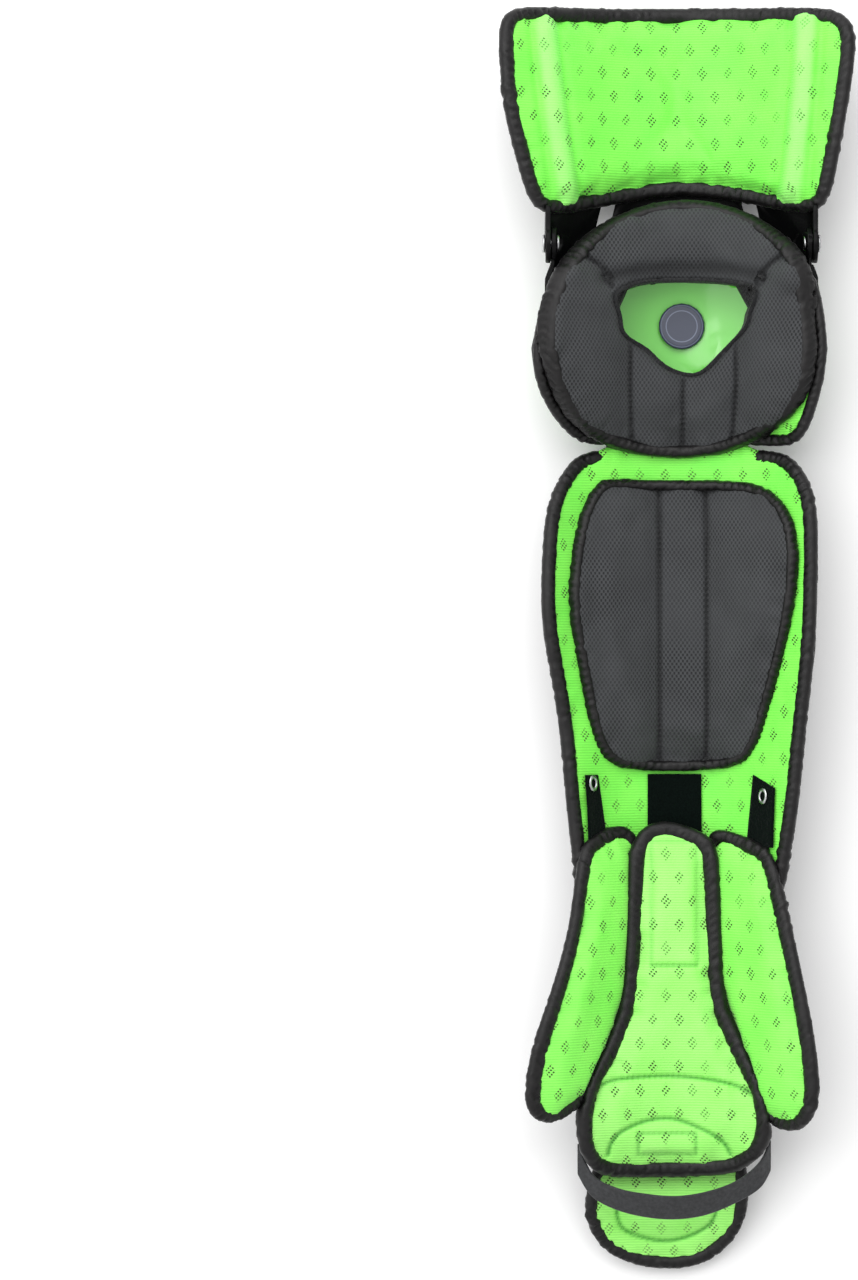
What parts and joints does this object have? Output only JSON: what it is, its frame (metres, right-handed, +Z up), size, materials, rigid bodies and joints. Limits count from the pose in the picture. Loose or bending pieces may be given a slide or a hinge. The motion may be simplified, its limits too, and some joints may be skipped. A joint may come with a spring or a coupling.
{
  "type": "leg guard",
  "caption": "Catcher's leg guard with a hinged thigh flap, a windowed knee pad, a padded shin, ankle wings, an instep tongue, a toe flap and a foot strap, lying padded side up.",
  "frame": {"origin": "on the floor under the middle of the guard as it lies on its outer shells", "axes": "+Y from the toe to the thigh, +X across to the right with the padded side up, +Z up from the floor"},
  "size_m": [0.201, 0.7136, 0.0774],
  "materials": {
    "green_mesh": "green spacer mesh, matt",
    "dark_mesh": "charcoal spacer mesh, matt",
    "binding_tape": "charcoal binding tape, slight sheen",
    "hook_tape": "black hook tape, matt",
    "elastic": "black elastic webbing, matt",
    "black_plastic": "moulded black plastic, satin",
    "green_plastic": "moulded green plastic, glossy",
    "badge_plastic": "dark slate disc, satin",
    "steel": "plain steel"
  },
  "bodies": {
    "lower_leg": {"knee_liner": "green_mesh", "knee_liner_binding": "binding_tape", "knee_frame": "black_plastic", "knee_pad": "dark_mesh", "knee_pad_binding": "binding_tape", "knee_cap": "green_plastic", "knee_badge": "badge_plastic", "hinge_rivet_left": "steel", "hinge_rivet_right": "steel", "shin_liner": "green_mesh", "shin_liner_binding": "binding_tape", "shin_shell": "black_plastic", "shin_pad": "dark_mesh", "shin_pad_binding": "binding_tape", "centre_hook_strip": "hook_tape", "left_hook_strip": "hook_tape", "right_hook_strip": "hook_tape", "left_eyelet": "steel", "right_eyelet": "steel", "ankle_wing_left": "green_mesh", "ankle_wing_binding_left": "binding_tape", "ankle_plate_left": "black_plastic", "ankle_wing_right": "green_mesh", "ankle_wing_binding_right": "binding_tape", "ankle_plate_right": "black_plastic", "instep_tongue": "green_mesh", "instep_tongue_binding": "binding_tape", "instep_plate": "black_plastic", "toe_flap": "green_mesh", "toe_flap_binding": "binding_tape", "toe_plate": "black_plastic", "foot_strap": "elastic"},
    "thigh": {"thigh_pad": "green_mesh", "thigh_binding": "binding_tape", "thigh_shell": "black_plastic"}
  },
  "joints": [
    {"name": "thigh_hinge", "type": "hinge", "parent": "lower_leg", "child": "thigh", "pos_m": [0.0027, 0.22185, 0.0475], "axis": [1, 0, 0], "range_deg": [0, 90]}
  ]
}
